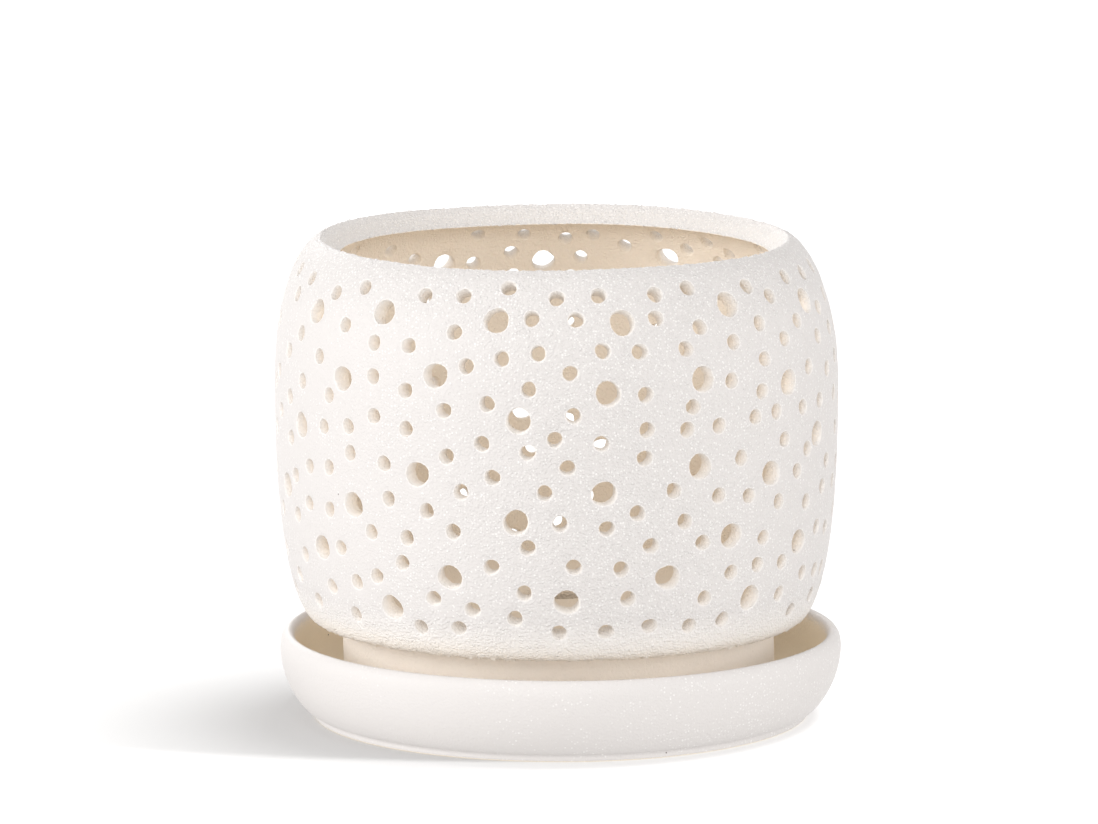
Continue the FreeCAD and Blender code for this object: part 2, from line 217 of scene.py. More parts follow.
LARGE_HOLE_SHARES = (
    (-60.0, 83.2), (-38.4, 86.0), (-12.2, 85.9), (14.0, 85.1), (39.5, 87.7), (66.6, 85.0),
    (-48.2, 68.6), (-24.8, 72.0), (-7.5, 62.1), (10.2, 68.5), (30.5, 70.6), (54.0, 66.8),
    (-63.5, 54.8), (-28.8, 47.9), (9.3, 44.5), (29.5, 49.7), (48.2, 45.6), (65.8, 52.3),
    (-72.7, 38.3), (-45.6, 38.3), (-8.2, 37.5), (37.4, 31.9), (-57.2, 25.8), (-22.4, 23.2),
    (22.9, 23.2), (59.3, 26.9), (1.9, 17.9), (-37.2, 13.9), (44.1, 15.4),
)
SIDE_SMALL_SHARES = (
    (81.7, 91.5), (91.8, 92.0), (82.3, 83.9), (86.6, 75.8), (95.8, 77.2), (80.5, 68.9),
    (77.6, 60.2), (84.3, 57.4), (93.5, 58.3), (98.4, 62.5), (79.8, 51.4), (98.9, 51.4),
    (82.3, 42.6), (95.3, 40.2), (87.4, 36.3), (82.0, 30.6), (101.6, 31.5), (85.4, 20.7),
    (99.3, 21.0), (82.6, 11.4), (91.8, 13.0), (101.0, 11.0),
)
SIDE_LARGE_SHARES = ((91.0, 83.4), (90.2, 66.8), (89.6, 48.2), (93.2, 29.6))
# The far side, read through the mouth and through the holes of the front: degrees round from the back.
FAR_SMALL_SHARES = (
    (-60.3, 92.4), (-46.2, 87.9), (-41.9, 84.8), (-40.2, 91.2), (-33.2, 87.9), (-25.7, 91.9),
    (-16.9, 87.8), (-9.5, 91.5), (-6.0, 83.9), (-2.7, 90.1), (7.4, 91.7), (10.3, 85.6),
    (19.0, 92.3), (19.2, 82.6), (34.6, 84.9), (42.6, 88.7), (56.7, 90.6),
    (-2.5, 65.5), (-9.2, 41.4), (-2.5, 40.0), (5.5, 33.0), (21.5, 21.0), (0.4, 14.0),
)
FAR_LARGE_SHARES = ((-27.3, 84.5), (2.7, 82.6), (26.5, 82.6), (7.5, 43.0), (-10.0, 32.0))
# The mouth shows the far wall this many degrees round from the back and from this share up. Holes
# there keep a gap of clay between them, and keep out of line with the front's by a share of both radii.
MOUTH_SHOWS_DEGREES, MOUTH_SHOWS_FROM = 64, 80
FAR_GAP, IN_LINE_SHARE = 0.0022, 0.7


def drawn_in(radius, depth, share, power, roundness):
    """Radius at a share of the way from the belly: radius - depth * (1 - (1 - share^power)^roundness)."""
    return radius - depth * (1 - (1 - share**power) ** roundness)


def wall_line(belly, lowest, highest, lower_curve, upper_curve):
    """Side line of a turned wall, from its lowest to its highest point: length, radius and height.

    Both halves leave the belly upright and follow drawn_in. Their points stand at the sine of even
    angles, so they crowd where the line turns in.
    """
    share = np.sin(np.linspace(0, np.pi / 2, 800))
    down = drawn_in(belly, belly - lowest[0], share, *lower_curve)
    up = drawn_in(belly, belly - highest[0], share, *upper_curve)
    radius = np.concatenate([down[::-1], up[1:]])
    height = np.concatenate([
        (BELLY_HEIGHT + (lowest[1] - BELLY_HEIGHT) * share)[::-1],
        (BELLY_HEIGHT + (highest[1] - BELLY_HEIGHT) * share)[1:],
    ])
    length = np.concatenate([[0], np.cumsum(np.hypot(np.diff(radius), np.diff(height)))])
    return np.stack([length, radius, height])


def round_point(azimuth, radius, height):
    """Points of a turned form: the azimuth goes round from the front to the right."""
    right, back = radius * np.sin(azimuth), -radius * np.cos(azimuth)
    return np.stack(np.broadcast_arrays(right, back, height), axis=-1)


def on_wall(line, azimuth, length):
    """Points of a wall: its line's radius and height at the length, carried round to the azimuth."""
    return round_point(azimuth, np.interp(length, line[0], line[1]), np.interp(length, line[0], line[2]))


def rim_places(line, holes, ring_radius, rough):
    """Azimuth and length of each hole's ring on the unrolled wall.

    A ring is a circle, a little oval as a hand leaves it, whose points stand in or out by a rough share.
    """
    angle = TURN * np.arange(HOLE_SIDES) / HOLE_SIDES
    lean = holes["lean"][:, None]
    oval = 1 + 0.035 * np.cos(2 * angle + lean) + 0.025 * np.cos(3 * angle - 5 * lean)
    reach = ring_radius[:, None] * oval * (1 + rough * dice.normal(size=oval.shape).clip(-2, 2))
    local = np.interp(holes["length"], line[0], line[1])[:, None]
    azimuth = holes["azimuth"][:, None] + reach * np.cos(angle) / local
    return azimuth, holes["length"][:, None] + reach * np.sin(angle)


def pierced_skin(line, holes, ring_radius, coarse, dice):
    """One skin of the pierced wall, as azimuths, lengths and triangles.

    Points stand in staggered rows whose spacing grows from fine at both ends to coarse, and keep off
    the holes' rings. The unrolled skin is triangulated with a strip repeated beyond both ends, and the
    triangles whose middle lies in one full turn are kept, so it closes on itself without a seam.
    The first points are the rings', then come the lower and the upper edge, then all the others.
    """
    length, radius = line[0], line[1]
    from_end = np.minimum(length, length[-1] - length)
    spacing = np.minimum(coarse, 0.0006 + 0.2 * from_end)
    steps = np.concatenate([[0], np.cumsum(np.diff(length) / spacing[1:])])
    rows = np.interp(np.arange(1, int(steps[-1]) + 1) - 0.3, steps, length)
    count = np.round(TURN * np.interp(rows, length, radius) / np.interp(rows, length, spacing)).astype(int)
    row = np.repeat(np.arange(len(rows)), count)
    place = np.arange(count.sum()) - np.repeat(np.cumsum(count) - count, count)
    azimuth = TURN * (place + 0.5 * (row % 2) + dice.uniform(-0.14, 0.14, len(row))) / count[row] - math.pi
    up = rows[row] + dice.uniform(-0.14, 0.14, len(row)) * np.interp(rows[row], length, spacing)

    around = (azimuth[:, None] - holes["azimuth"] + math.pi) % TURN - math.pi
    apart = np.hypot(around * np.interp(up, length, radius)[:, None], up[:, None] - holes["length"])
    clear = (apart > ring_radius + 0.45 * np.interp(up, length, spacing)[:, None]).all(axis=1)
    inside = (up > 0.0003) & (up < length[-1] - 0.0003) & clear

    ring_azimuth, ring_length = rim_places(line, holes, ring_radius, 0.01)
    edge = TURN * np.arange(ROUND_EDGE_COLUMNS) / ROUND_EDGE_COLUMNS - math.pi
    azimuth = np.concatenate([ring_azimuth.ravel(), edge, edge, azimuth[inside]])
    up = np.concatenate([ring_length.ravel(), 0 * edge, 0 * edge + length[-1], up[inside]])

    near_seam = np.flatnonzero(np.abs(azimuth) > math.pi - 0.3)
    owner = np.concatenate([np.arange(len(azimuth)), near_seam])
    flat = np.stack([
        np.concatenate([azimuth, azimuth[near_seam] - TURN * np.sign(azimuth[near_seam])]) * BELLY_RADIUS,
        np.concatenate([up, up[near_seam]]),
    ], axis=1)
    triangles = np.array(delaunay_2d_cdt(flat.tolist(), [], [], 0, 1e-9, False)[2])
    middle = flat[triangles, 0].mean(axis=1) / BELLY_RADIUS
    triangles = owner[triangles[(middle >= -math.pi) & (middle < math.pi)]]
    ring = np.where(triangles < ring_azimuth.size, triangles // HOLE_SIDES, -1)
    in_hole = (ring[:, 0] >= 0) & (ring[:, 0] == ring[:, 1]) & (ring[:, 1] == ring[:, 2])
    return azimuth, up, triangles[~in_hole]


def band_faces(rows, closed_rows=False):
    """Four-sided faces between each row of point numbers and the next, closed round the turn."""
    rows = np.concatenate([rows, rows[:1]]) if closed_rows else rows
    here, there = rows[:-1], rows[1:]
    return np.stack([here, np.roll(here, -1, -1), np.roll(there, -1, -1), there], axis=-1).reshape(-1, 4)


outer_line = wall_line(
    BELLY_RADIUS, (LOWER_EDGE_RADIUS, LOWER_EDGE_HEIGHT), (CREST_RADIUS, CREST_HEIGHT),
    (2.5, 0.5), (2.1, 0.6))
inner_line = wall_line(
    BELLY_RADIUS - WALL, (INNER_FLOOR_RADIUS, INNER_FLOOR_HEIGHT), (LIP_RADIUS, LIP_HEIGHT),
    (5.0, 0.5), (2.1, 0.43))
dice = np.random.default_rng(7)


def seen_from_camera(places, turn):
    """Where hole middles look to stand from the camera, in the upright plane through the pot's middle."""
    x, y, z = on_wall(outer_line, np.radians(places[:, 0] + turn), places[:, 1] / 100 * outer_line[0, -1]).T
    nearer = -camera.location.y / (y - camera.location.y)
    return np.stack([(x - camera.location.x) * nearer, (z - camera.location.z) * nearer], axis=1)


def repeated_behind(places, radius):
    """The front holes that the far side repeats, half a turn on.

    Left out are those where the mouth shows the wall, those that would break into a hole of the far side,
    and those behind a hole of the front, where the photograph shows no light.
    """
    kept = (np.abs(places[:, 0]) >= MOUTH_SHOWS_DEGREES) | (places[:, 1] <= MOUTH_SHOWS_FROM)
    for others, other_radius in ((far_small, SMALL_HOLE_RADIUS), (far_large, LARGE_HOLE_RADIUS)):
        around = np.radians(places[:, None, 0] - others[:, 0]) * BELLY_RADIUS
        upward = (places[:, None, 1] - others[:, 1]) / 100 * outer_line[0, -1]
        kept &= (np.hypot(around, upward) >= radius + other_radius + FAR_GAP).all(axis=1)
    for others, other_radius in ((small, SMALL_HOLE_RADIUS), (large, LARGE_HOLE_RADIUS)):
        apart = seen_from_camera(places, 180)[:, None] - seen_from_camera(others, 0)
        in_line = np.hypot(apart[..., 0], apart[..., 1]) < (radius + other_radius) * IN_LINE_SHARE
        kept &= ~in_line.any(axis=1)
    return places[kept]


small, large = np.array(SMALL_HOLE_SHARES), np.array(LARGE_HOLE_SHARES)
far_small, far_large = np.array(FAR_SMALL_SHARES), np.array(FAR_LARGE_SHARES)
side_small, side_large = np.array(SIDE_SMALL_SHARES), np.array(SIDE_LARGE_SHARES)
about = np.array([180, 0])
all_small = np.concatenate([small, side_small, side_small + about, far_small + about,
                            repeated_behind(small, SMALL_HOLE_RADIUS) + about])
all_large = np.concatenate([large, side_large, side_large + about, far_large + about,
                            repeated_behind(large, LARGE_HOLE_RADIUS) + about])
both = np.concatenate([all_small, all_large])
holes = {
    "azimuth": (np.radians(both[:, 0]) + math.pi) % TURN - math.pi,
    "length": both[:, 1] / 100 * outer_line[0, -1],
    "radius": np.repeat([SMALL_HOLE_RADIUS, LARGE_HOLE_RADIUS], [len(all_small), len(all_large)]),
    "lean": dice.uniform(0, TURN, len(both)),
}

# Each hole looks straight out of the wall, so its inner mouth is where that line meets the inner skin.
slope = np.gradient(outer_line[1:], outer_line[0], axis=1)
out_radius, out_height = (np.interp(holes["length"], outer_line[0], part) for part in (slope[1], -slope[0]))
inner_height = np.interp(holes["length"], outer_line[0], outer_line[2]) - WALL * out_height
inner_holes = dict(holes, length=np.interp(inner_height, inner_line[2], inner_line[0]))

# The glaze rounds each hole's outer mouth over a collar, narrower where two holes come close.
MEAN_RADIUS, WIDEST_COLLAR = 0.07, 0.0006
around = (holes["azimuth"][:, None] - holes["azimuth"] + math.pi) % TURN - math.pi
between = np.hypot(around * MEAN_RADIUS, holes["length"][:, None] - holes["length"])
between = between - holes["radius"][:, None] - holes["radius"]
np.fill_diagonal(between, 1)
collar = np.minimum(WIDEST_COLLAR, 0.4 * between.min(axis=1))

OUTER_SPACING, INNER_SPACING = 0.0019, 0.0028
outer_azimuth, outer_length, outer_faces = pierced_skin(
    outer_line, holes, holes["radius"] + collar, OUTER_SPACING, dice)
inner_azimuth, inner_length, inner_faces = pierced_skin(
    inner_line, inner_holes, holes["radius"] + 0.3 * collar, INNER_SPACING, dice)
outer_points = on_wall(outer_line, outer_azimuth, outer_length)
inner_points = on_wall(inner_line, inner_azimuth, inner_length)

# Rings down each hole: how much of the collar is left, the depth straight in, and the glaze there.
rings = []
straight_in = -round_point(holes["azimuth"], out_radius, out_height)[:, None]
for collar_share, depth in ((0.4, 0.00012), (0.0, 0.0008)):
    ring_azimuth, ring_length = rim_places(outer_line, holes, holes["radius"] + collar_share * collar, 0.02)
    rings.append(on_wall(outer_line, ring_azimuth, ring_length) + depth * straight_in)
ring_azimuth, ring_length = rim_places(inner_line, inner_holes, holes["radius"], 0.03)
rings.append(on_wall(inner_line, ring_azimuth, ring_length) - 0.0003 * straight_in)
RING_GLAZE = (0.95, 0.5, 0.1)

# The turned strips that join the two skins: the bevel over the mouth, and the underside, the drain
# hole and the floor below. Rows of radius, height and glaze.
BEVEL_ROWS = (
    (0.0619, 0.12815, 1.0), (0.0613, 0.1276, 0.9), (0.0604, 0.1266, 0.72), (0.0594, 0.1256, 0.7),
    (0.0584, 0.1245, 0.72), (0.0577, 0.1238, 0.8), (0.05745, 0.1235, 0.5),
)
BASE_ROWS = (
    (0.0640, 0.02648, 0.5), (0.0632, LOWER_EDGE_HEIGHT, 0.1), (0.0600, LOWER_EDGE_HEIGHT, 0.0),
    (0.0500, LOWER_EDGE_HEIGHT, 0.0), (0.0300, LOWER_EDGE_HEIGHT, 0.0),
    (DRAIN_RADIUS + 0.0007, LOWER_EDGE_HEIGHT, 0.0), (DRAIN_RADIUS + 0.0001, 0.0268, 0.0),
    (DRAIN_RADIUS, 0.0274, 0.0), (DRAIN_RADIUS, 0.0298, 0.0), (DRAIN_RADIUS + 0.0002, 0.0308, 0.0),
    (DRAIN_RADIUS + 0.0008, 0.0317, 0.0), (DRAIN_RADIUS + 0.0017, 0.0323, 0.0),
    (DRAIN_RADIUS + 0.0028, INNER_FLOOR_HEIGHT, 0.0), (0.0300, INNER_FLOOR_HEIGHT, 0.0),
    (0.0500, INNER_FLOOR_HEIGHT, 0.0),
)
edge = TURN * np.arange(ROUND_EDGE_COLUMNS) / ROUND_EDGE_COLUMNS - math.pi
bevel = np.array(BEVEL_ROWS)
base = np.array(BASE_ROWS)
bevel_points = round_point(edge, bevel[:, :1], bevel[:, 1:2])
base_points = round_point(edge, base[:, :1], base[:, 1:2])

blocks = [outer_points, inner_points, *rings, bevel_points, base_points]
blocks = [block.reshape(-1, 3) for block in blocks]
starts = np.cumsum([0] + [len(block) for block in blocks])
hole_count = len(holes["radius"])
ring_count = hole_count * HOLE_SIDES


def ring_numbers(start):
    """Point numbers of one ring of every hole."""
    return start + np.arange(ring_count).reshape(hole_count, HOLE_SIDES)


def edge_numbers(start, rows=1):
    """Point numbers of rows of the round edges."""
    return start + np.arange(rows * ROUND_EDGE_COLUMNS).reshape(rows, ROUND_EDGE_COLUMNS)


outer_low, outer_high = edge_numbers(ring_count, 2)
inner_low, inner_high = starts[1] + edge_numbers(ring_count, 2)
bevel_start, base_start = starts[2 + len(rings)], starts[3 + len(rings)]
throat_starts = [0, *starts[2:2 + len(rings)], starts[1]]
throat = np.stack([ring_numbers(start) for start in throat_starts])
over_mouth = np.vstack([outer_high, edge_numbers(bevel_start, len(bevel)), inner_high])
under_base = np.vstack([outer_low, edge_numbers(base_start, len(base)), inner_low])[:, ::-1]
barrel_faces = outer_faces.tolist() + (inner_faces[:, ::-1] + starts[1]).tolist()
for band in (throat, over_mouth, under_base):
    barrel_faces += band_faces(band).tolist()

# Glaze cover at every point. It fades over the lowest 11 mm of the wall, and more towards the left of
# the lower edge, so the brighter tan clay shows: a real glaze end, spread wider as painted warm light
# on a band that faces down.
painted_light_low_left = (np.interp(np.degrees(outer_azimuth), [-95, -65, -25, 10], [0.0, 0.35, 0.3, 0.0])
        * np.interp(outer_length, [0, 0.003, 0.011], [1.0, 0.8, 0.0]))
glaze = np.concatenate([
    np.interp(outer_length, [0, 0.003, 0.006, 0.011], [0.15, 0.35, 0.7, 1.0]) - painted_light_low_left,
    np.zeros(len(inner_points)),
    *[np.full(ring_count, share) for share in RING_GLAZE],
    np.repeat(bevel[:, 2], ROUND_EDGE_COLUMNS),
    np.repeat(base[:, 2], ROUND_EDGE_COLUMNS),
])
points = np.concatenate(blocks)

# How far the sand in the glaze moves a point: most at the lower edge and along the mouth.
rough_edge = np.zeros(len(points))
total = outer_line[0, -1]
rough_edge[:len(outer_length)] = np.interp(
    outer_length, [0, 0.0012, 0.004, total - 0.003, total - 0.001, total],
    [0.00022, 0.00016, 0.00003, 0.00003, 0.00008, 0.00012])
rough_edge[:ring_count] = 0
rough_edge[over_mouth[1:-1].ravel()] = np.repeat([0.00005] * 5 + [0.0001, 0.00014], ROUND_EDGE_COLUMNS)
rough_edge[under_base[1]] = 0.0002

# How far the hand moves it: a slow wobble round the wall, a wavy crest and a slight lean.
radius = np.hypot(points[:, 0], points[:, 1])
azimuth = np.arctan2(points[:, 0], -points[:, 1])
height = points[:, 2]
wobble = (0.00018 * np.sin(2 * azimuth + 0.9) + 0.00012 * np.sin(3 * azimuth - 1.1 + 30 * height)
          + 0.00005 * np.sin(7 * azimuth + 60 * height))
moved = radius + wobble * np.clip(radius / 0.05 - 0.5, 0, 1) + rough_edge * dice.normal(size=len(points))
lift = 0.00016 * np.sin(3 * azimuth + 0.4) + 0.0001 * np.sin(5 * azimuth)
lift = lift * np.clip((height - 0.10) / 0.028, 0, 1) + 0.8 * rough_edge * dice.normal(size=len(points))
points = round_point(azimuth, moved, height + lift)
LEAN_HEIGHTS, LEAN = (0.0067, 0.0265, 0.06, 0.1, 0.1283), (0.0010, 0.0004, 0.0002, 0.0, -0.0007)
points[:, 0] += np.interp(points[:, 2], LEAN_HEIGHTS, LEAN)


def sand_cover(points):
    """How thickly sand lies in the glaze: most at both ends, and more in front than at the sides. The
    change
    round the wall follows the light: the whiter grains stand thickest in front as painted sparkle, and
    thinnest on the brightly lit left.
    """
    around = np.degrees(np.arctan2(points[:, 0], -points[:, 1]))
    sand_and_sparkle_by_side = np.interp(around, [-180, -60, -25, 5, 40, 80, 180], [0.55, 0.35, 0.5, 0.85, 0.65, 0.5, 0.5])
    return sand_and_sparkle_by_side + np.interp(points[:, 2], [0.026, 0.040, 0.112, 0.126], [0.9, 0.0, 0.0, 0.45])


def sanded_glaze(name, sand, clay_low, clay_high):
    """White glaze with sand in it over tan clay, mixed by the mesh's glaze cover.

    Fine noise and small sharp grains lift the surface. The grains are whiter than the glaze between
    them, a few dark specks are iron, and noise breaks up the glaze's border. A pale cream is painted
    over all of it where the mesh says so: painted light, not a coat that the pot has.
    """
    material, tree = new_material(name)
    place = wired(tree, "ShaderNodeTexCoord").outputs["Object"]
    cover = wired(tree, "ShaderNodeAttribute", attribute_name="glaze").outputs["Fac"]
    thick = wired(tree, "ShaderNodeAttribute", attribute_name="sand").outputs["Fac"]
    # The pale cream read here is painted light, not a wash on the pot.
    pale = wired(tree, "ShaderNodeAttribute", attribute_name="painted_light").outputs["Fac"]
    fine = wired(tree, "ShaderNodeTexNoise", {
        "Vector": place, "Scale": 1600.0, "Detail": 1.0, "Roughness": 0.5})
    broad = wired(tree, "ShaderNodeTexNoise", {
        "Vector": place, "Scale": 60.0, "Detail": 3.0, "Roughness": 0.5})
    grain = wired(tree, "ShaderNodeTexVoronoi", {"Vector": place, "Scale": 1250.0, "Randomness": 1.0})
    iron = wired(tree, "ShaderNodeTexVoronoi", {"Vector": place, "Scale": 85.0, "Randomness": 1.0})

    # The border of the glaze: its cover, pushed to and fro by the fine noise.
    push = wired(tree, "ShaderNodeMath", {0: fine.outputs[0], 1: 0.5, 2: -0.25}, operation="MULTIPLY_ADD")
    pushed = wired(tree, "ShaderNodeMath", {0: cover, 1: push.outputs[0]}, operation="ADD")
    border = wired(tree, "ShaderNodeMapRange", {
        "Value": pushed.outputs[0], "From Min": 0.05, "From Max": 0.85}, interpolation_type="SMOOTHSTEP")

    # Sand grains: round bumps in part of the small cells, more of them where the broad noise is high.
    bump_top = wired(tree, "ShaderNodeMapRange", {
        "Value": grain.outputs["Distance"], "From Min": 0.44, "From Max": 0.14})
    chance = wired(tree, "ShaderNodeSeparateColor", {"Color": grain.outputs["Color"]})
    patchy = wired(tree, "ShaderNodeMath", {0: broad.outputs[0], 1: thick}, operation="MULTIPLY")
    few = wired(tree, "ShaderNodeMath", {0: chance.outputs[0], 1: patchy.outputs[0]}, operation="MULTIPLY")
    chosen = wired(tree, "ShaderNodeMapRange", {
        "Value": few.outputs[0], "From Min": 0.13, "From Max": 0.18})
    tops = {0: bump_top.outputs[0], 1: chosen.outputs[0]}
    grains = wired(tree, "ShaderNodeMath", tops, operation="MULTIPLY")
    in_glaze = {0: grains.outputs[0], 1: border.outputs[0]}
    sandy = wired(tree, "ShaderNodeMath", in_glaze, operation="MULTIPLY")

    # Iron specks: the middles of a few large cells.
    dot = wired(tree, "ShaderNodeMapRange", {
        "Value": iron.outputs["Distance"], "From Min": 0.022, "From Max": 0.012})
    rare = wired(tree, "ShaderNodeSeparateColor", {"Color": iron.outputs["Color"]})
    seldom = wired(tree, "ShaderNodeMath", {0: rare.outputs[1], 1: 0.7}, operation="GREATER_THAN")
    specks = wired(tree, "ShaderNodeMath", {0: dot.outputs[0], 1: seldom.outputs[0]}, operation="MULTIPLY")

    # Colours, from the clay up: glaze with its grains, the painted light over both, then the specks.
    clay = wired(tree, "ShaderNodeMix", {"Factor": broad.outputs[0]}, data_type="RGBA")
    clay.inputs[6].default_value = (*clay_low, 1)
    clay.inputs[7].default_value = (*clay_high, 1)
    white = wired(tree, "ShaderNodeMix", {"Factor": sandy.outputs[0]}, data_type="RGBA")
    white.inputs[6].default_value = (0.746, 0.716, 0.700, 1)
    white.inputs[7].default_value = (0.94, 0.92, 0.90, 1)
    body = wired(tree, "ShaderNodeMix", {"Factor": border.outputs[0]}, data_type="RGBA")
    tree.links.new(clay.outputs[2], body.inputs[6])
    tree.links.new(white.outputs[2], body.inputs[7])
    # Painted light: a pale cream mixed over the colour where the mesh asks for it.
    with_painted_light = wired(tree, "ShaderNodeMix", {"Factor": pale}, data_type="RGBA")
    tree.links.new(body.outputs[2], with_painted_light.inputs[6])
    with_painted_light.inputs[7].default_value = (0.99, 0.95, 0.91, 1)
    color = wired(tree, "ShaderNodeMix", {"Factor": specks.outputs[0]}, data_type="RGBA")
    tree.links.new(with_painted_light.outputs[2], color.inputs[6])
    color.inputs[7].default_value = (0.13, 0.10, 0.09, 1)

    # Relief: fine grit where sand lies, and the grains on top of it.
    level = wired(tree, "ShaderNodeMath", {0: thick, 1: 0.8}, operation="MINIMUM")
    grit = wired(tree, "ShaderNodeMath", {0: fine.outputs[0], 1: level.outputs[0]}, operation="MULTIPLY")
    stacked = {0: sandy.outputs[0], 1: 0.15, 2: grit.outputs[0]}
    rise = wired(tree, "ShaderNodeMath", stacked, operation="MULTIPLY_ADD")
    relief = wired(tree, "ShaderNodeBump", {
        "Height": rise.outputs[0], "Distance": 0.0008, "Strength": sand})
    gloss = wired(tree, "ShaderNodeMapRange", {"Value": border.outputs[0], "To Min": 0.85, "To Max": 0.5})
    shader = wired(tree, "ShaderNodeBsdfPrincipled", {
        "Base Color": color.outputs[2], "Roughness": gloss.outputs[0], "Normal": relief.outputs[0],
        "Specular IOR Level": 0.2,
    })
    wired(tree, "ShaderNodeOutputMaterial", {"Surface": shader.outputs[0]})
    return material


def put_on(piece, name, values):
    """Gives the mesh an attribute with one value for each point, for its material to read."""
    made = piece.data.attributes.new(name, "FLOAT", "POINT")
    made.data.foreach_set("value", values.astype(np.float32))


pot_glaze = sanded_glaze("pot_white_glaze", 0.85, (0.985, 0.89, 0.775), (0.985, 0.905, 0.80))
barrel = new_piece("pot_barrel", points, barrel_faces, pot_glaze)
put_on(barrel, "glaze", glaze)
put_on(barrel, "sand", sand_cover(points))

# Painted light: a pale cream painted right through the throats of the holes in front, where the front
# lamps would light them, and only a little way into the others, which turn away from that light. It is
# also painted along the lower edge, which faces down, and thinly on the bevel, to brighten them.
front = np.interp(np.abs(np.degrees(holes["azimuth"])), [20, 60], [1, 0])[:, None]
painted_light = np.zeros(len(points))
painted_light[:len(outer_length)] = np.interp(outer_length, [0, 0.006, 0.014], [0.75, 0.6, 0.0])
painted_light[over_mouth[1:-1].ravel()] = 0.15
for k, share in enumerate((np.full_like(front, 0.6), 0.45 + 0.55 * front, 0.75 * front)):
    painted_light[ring_numbers(starts[2 + k])] = share
put_on(barrel, "painted_light", painted_light)
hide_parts("pot")
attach(barrel, "pot")


# The foot: a thrown ring of the same clay, left bare so that it doesn't stick in the kiln.
# It is luted to the underside of the barrel and stands in the saucer.
FOOT_RADIUS, FOOT_INSIDE_RADIUS = 0.0575, 0.051
FOOT_BOTTOM, FOOT_TOP = 0.0067, 0.0270
FOOT_COLUMNS = 360
FOOT_ROWS = (
    (FOOT_RADIUS + 0.0004, FOOT_TOP), (FOOT_RADIUS + 0.0003, 0.0262), (FOOT_RADIUS, 0.0254),
    (FOOT_RADIUS, 0.0230), (FOOT_RADIUS, 0.0200), (FOOT_RADIUS, 0.0170), (FOOT_RADIUS, 0.0140),
    (FOOT_RADIUS, 0.0110), (FOOT_RADIUS, 0.0080), (FOOT_RADIUS - 0.0002, 0.0071),
    (FOOT_RADIUS - 0.0007, FOOT_BOTTOM),
    (FOOT_INSIDE_RADIUS + 0.0007, FOOT_BOTTOM), (FOOT_INSIDE_RADIUS + 0.0002, 0.0071),
    (FOOT_INSIDE_RADIUS, 0.0080), (FOOT_INSIDE_RADIUS, 0.0170), (FOOT_INSIDE_RADIUS, FOOT_TOP),
)


def lathe(rows, columns, closed_rows):
    """Points and faces of a turned form: each row of radius and height goes once round the middle.

    A closed form joins its last row to its first. An open one starts and ends on the middle line,
    where a single point closes it.
    """
    azimuth = TURN * np.arange(columns) / columns
    if closed_rows:
        points = round_point(azimuth, rows[:, :1], rows[:, 1:2]).reshape(-1, 3)
        numbers = np.arange(len(points)).reshape(len(rows), columns)
        return points, band_faces(numbers[:, ::-1], True).tolist()
    points = round_point(azimuth, rows[1:-1, :1], rows[1:-1, 1:2]).reshape(-1, 3)
    numbers = np.arange(len(points)).reshape(len(rows) - 2, columns)
    ends = np.array([(0, 0, rows[0, 1]), (0, 0, rows[-1, 1])])
    first = np.stack([numbers[0], np.roll(numbers[0], -1), np.full(columns, len(points))], axis=1)
    last = np.stack([np.roll(numbers[-1], -1), numbers[-1], np.full(columns, len(points) + 1)], axis=1)
    faces = band_faces(numbers).tolist() + first[:, ::-1].tolist() + last[:, ::-1].tolist()
    return np.concatenate([points, ends]), faces


def bare_clay(name):
    """Unglazed peach clay: soft mottling, fine grit that stands up, pale grains and a few dark specks."""
    material, tree = new_material(name)
    place = wired(tree, "ShaderNodeTexCoord").outputs["Object"]
    grit = wired(tree, "ShaderNodeTexNoise", {
        "Vector": place, "Scale": 1100.0, "Detail": 3.0, "Roughness": 0.65})
    cloud = wired(tree, "ShaderNodeTexNoise", {
        "Vector": place, "Scale": 90.0, "Detail": 3.0, "Roughness": 0.5})
    tone = wired(tree, "ShaderNodeMix", {"Factor": cloud.outputs[0]}, data_type="RGBA")
    tone.inputs[6].default_value = (0.95, 0.88, 0.82, 1)
    tone.inputs[7].default_value = (0.98, 0.93, 0.87, 1)
    pale = wired(tree, "ShaderNodeMapRange", {"Value": grit.outputs[0], "From Min": 0.60, "From Max": 0.72})
    color = wired(tree, "ShaderNodeMix", {"Factor": pale.outputs[0]}, data_type="RGBA")
    tree.links.new(tone.outputs[2], color.inputs[6])
    color.inputs[7].default_value = (0.92, 0.86, 0.79, 1)
    relief = wired(tree, "ShaderNodeBump", {"Height": grit.outputs[0], "Distance": 0.0004, "Strength": 0.7})
    shader = wired(tree, "ShaderNodeBsdfPrincipled", {
        "Base Color": color.outputs[2], "Normal": relief.outputs[0], "Roughness": 0.9,
        "Specular IOR Level": 0.2,
    })
    wired(tree, "ShaderNodeOutputMaterial", {"Surface": shader.outputs[0]})
    return material


points, faces = lathe(np.array(FOOT_ROWS), FOOT_COLUMNS, True)
points[:, 0] += np.interp(points[:, 2], LEAN_HEIGHTS, LEAN)
foot = new_piece("pot_foot", points, faces, bare_clay("bare_peach_clay"))
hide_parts("pot")
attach(foot, "pot")


# The saucer: a thrown dish with a rounded wall and a rolled rim on a low foot. The white glaze is
# sprayed over the outside and the rim, and thins out down the bare tan inside.
SAUCER_RADIUS, SAUCER_WIDEST = 0.075, 0.019
SAUCER_FOOT, SAUCER_FOOT_HEIGHT = 0.0662, 0.0022
SAUCER_FLOOR = 0.0065
SAUCER_ASIDE = 0.0011
SAUCER_CORNER, SAUCER_CORNER_RADIUS = 0.0639, 0.007
SAUCER_COLUMNS = 480


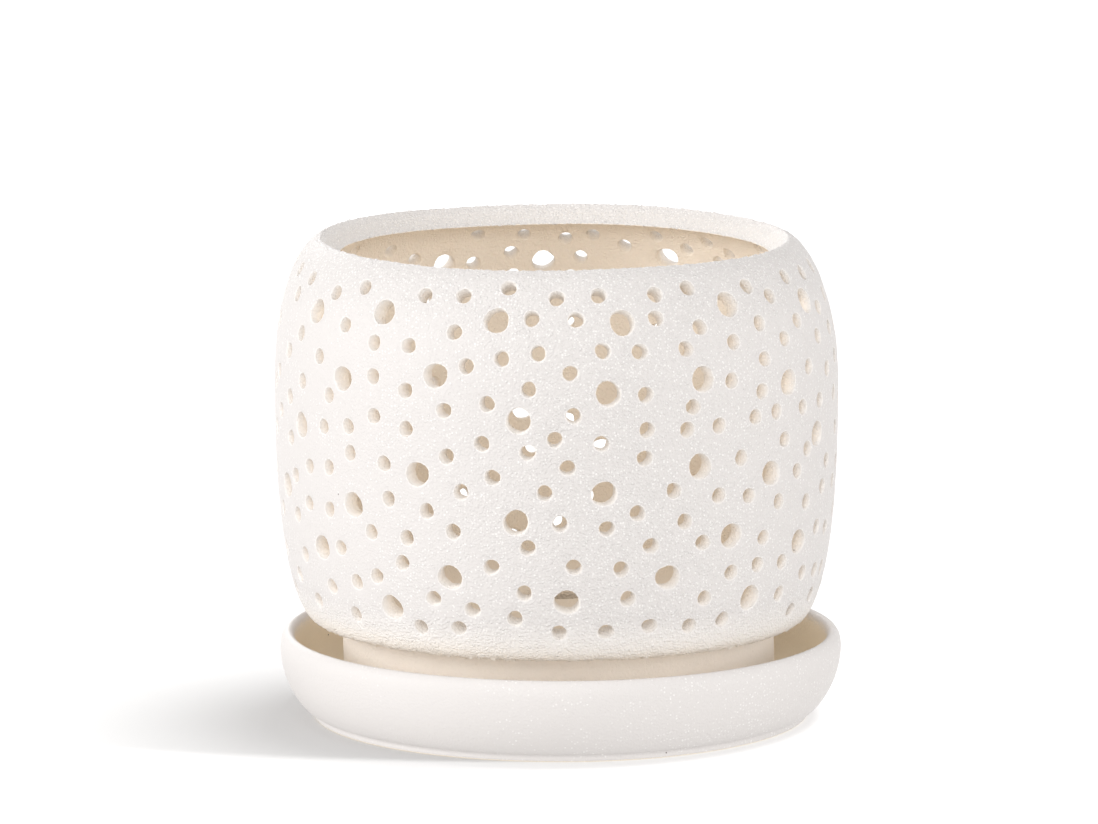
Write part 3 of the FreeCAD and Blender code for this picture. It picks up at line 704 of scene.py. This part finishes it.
def saucer_rows():
    """Side line of the dish: rows of radius, height and glaze, from under its middle round to its floor.

    The wall leaves its widest line upright and follows drawn_in down to the foot. The rim is three
    short curves, and the hollow corner is a quarter circle.
    """
    share = np.sin(np.linspace(np.pi / 2, 0, 22))
    start = SAUCER_FOOT + 0.0016
    wall = np.stack([
        drawn_in(SAUCER_RADIUS, SAUCER_RADIUS - start, share, 2.0, 0.8),
        SAUCER_WIDEST - (SAUCER_WIDEST - SAUCER_FOOT_HEIGHT - 0.0002) * share,
        np.ones(len(share)),
    ], axis=1)
    quarter = np.linspace(0, np.pi / 2, 12)
    corner = np.stack([
        SAUCER_CORNER + SAUCER_CORNER_RADIUS * np.cos(quarter),
        SAUCER_FLOOR + SAUCER_CORNER_RADIUS * (1 - np.sin(quarter)),
        np.zeros(len(quarter)),
    ], axis=1)
    under = [(0, SAUCER_FOOT_HEIGHT, 0), (0.03, SAUCER_FOOT_HEIGHT, 0), (0.0585, SAUCER_FOOT_HEIGHT, 0),
             (0.0591, 0.0019, 0), (0.0592, 0.0006, 0), (0.0596, 0.0001, 0), (0.0602, 0, 0),
             (0.0655, 0, 0), (0.0659, 0.0001, 0.1), (0.0662, 0.0004, 0.75), (0.06625, 0.0010, 1),
             (0.0663, 0.0017, 1), (0.0666, 0.0021, 1)]
    rim = [(0.07485, 0.0202, 1), (0.0746, 0.0211, 1), (0.0742, 0.0218, 1), (0.07365, 0.0224, 1),
           (0.0730, 0.0228, 1), (0.0724, 0.0228, 1), (0.0718, 0.0224, 0.9), (0.0713, 0.0216, 0.6),
           (0.0710, 0.0204, 0.3), (0.0709, 0.0188, 0.1), (0.0709, 0.0165, 0)]
    floor = [(0.06, SAUCER_FLOOR, 0), (0.03, SAUCER_FLOOR, 0), (0, SAUCER_FLOOR, 0)]
    return np.concatenate([under, wall, rim, corner, floor])


rows = saucer_rows()
points, faces = lathe(rows, SAUCER_COLUMNS, False)
azimuth = np.arctan2(points[:, 0], -points[:, 1])
radius = np.hypot(points[:, 0], points[:, 1])
rough_edge = np.interp(points[:, 2], [0.0195, 0.0215, 0.0228], [0.00001, 0.00002, 0.00004])
wobble = 0.00015 * np.sin(2 * azimuth + 2.1) + 0.0001 * np.sin(5 * azimuth)
moved = radius + wobble * np.clip(radius / 0.04 - 0.5, 0, 1)
points = round_point(azimuth, moved + rough_edge * dice.normal(size=len(points)), points[:, 2])
points[:, 0] += SAUCER_ASIDE
saucer_glaze = sanded_glaze("saucer_white_glaze", 0.6, (0.97, 0.86, 0.68), (0.98, 0.88, 0.73))
saucer = new_piece("saucer_dish", points, faces, saucer_glaze)
put_on(saucer, "glaze", np.concatenate([np.repeat(rows[1:-1, 2], SAUCER_COLUMNS), [0, 0]]))
put_on(saucer, "sand", np.interp(points[:, 0], [-0.04, 0.03], [0.25, 0.42]))
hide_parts("saucer")
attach(saucer, "saucer")


# The three clay pieces are what the lamps light.
for piece in (barrel, foot, saucer):
    clay_group.objects.link(piece)
